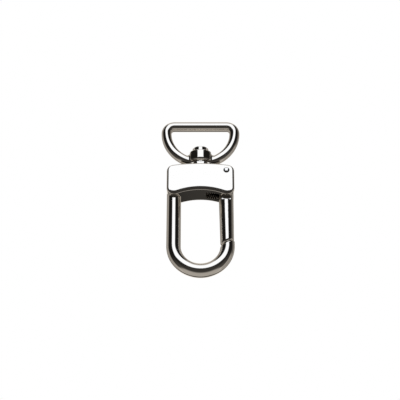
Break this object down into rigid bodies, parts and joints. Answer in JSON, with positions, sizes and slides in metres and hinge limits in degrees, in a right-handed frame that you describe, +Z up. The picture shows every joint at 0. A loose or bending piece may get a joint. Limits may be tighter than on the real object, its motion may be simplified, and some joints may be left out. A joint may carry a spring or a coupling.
{
  "type": "swivel snap hook",
  "caption": "Swivel snap hook with a sprung side gate and a D-ring for a 20 mm strap, in polished plated metal.",
  "frame": {"origin": "middle of the strap bar, where the strap holds the hook", "axes": "+Z up along the swivel axis, from the hook to the strap; -Y the front face; +X the gate side"},
  "size_m": [0.0272, 0.0089, 0.06],
  "materials": {
    "polished_nickel": "mirror polished nickel plate",
    "pin_steel": "turned and polished steel",
    "spring_steel": "dark drawn spring wire"
  },
  "bodies": {
    "ring": {"d_ring": "polished_nickel"},
    "hook": {"hook_body": "polished_nickel", "swivel_post": "polished_nickel", "swivel_washer": "polished_nickel", "gate_pin": "pin_steel", "gate_spring": "spring_steel"},
    "gate": {"gate": "polished_nickel"}
  },
  "joints": [
    {"name": "swivel", "type": "hinge", "parent": "ring", "child": "hook", "pos_m": [0, 0, -0.0131], "axis": [0, 0, 1], "continuous": true},
    {"name": "gate_hinge", "type": "hinge", "parent": "hook", "child": "gate", "pos_m": [0.00885, 0, -0.0197], "axis": [0, 1, 0], "range_deg": [0, 27], "stiffness_Nm_per_rad": 0.08, "springref_deg": -25.78, "deforming": ["gate_spring"]}
  ]
}
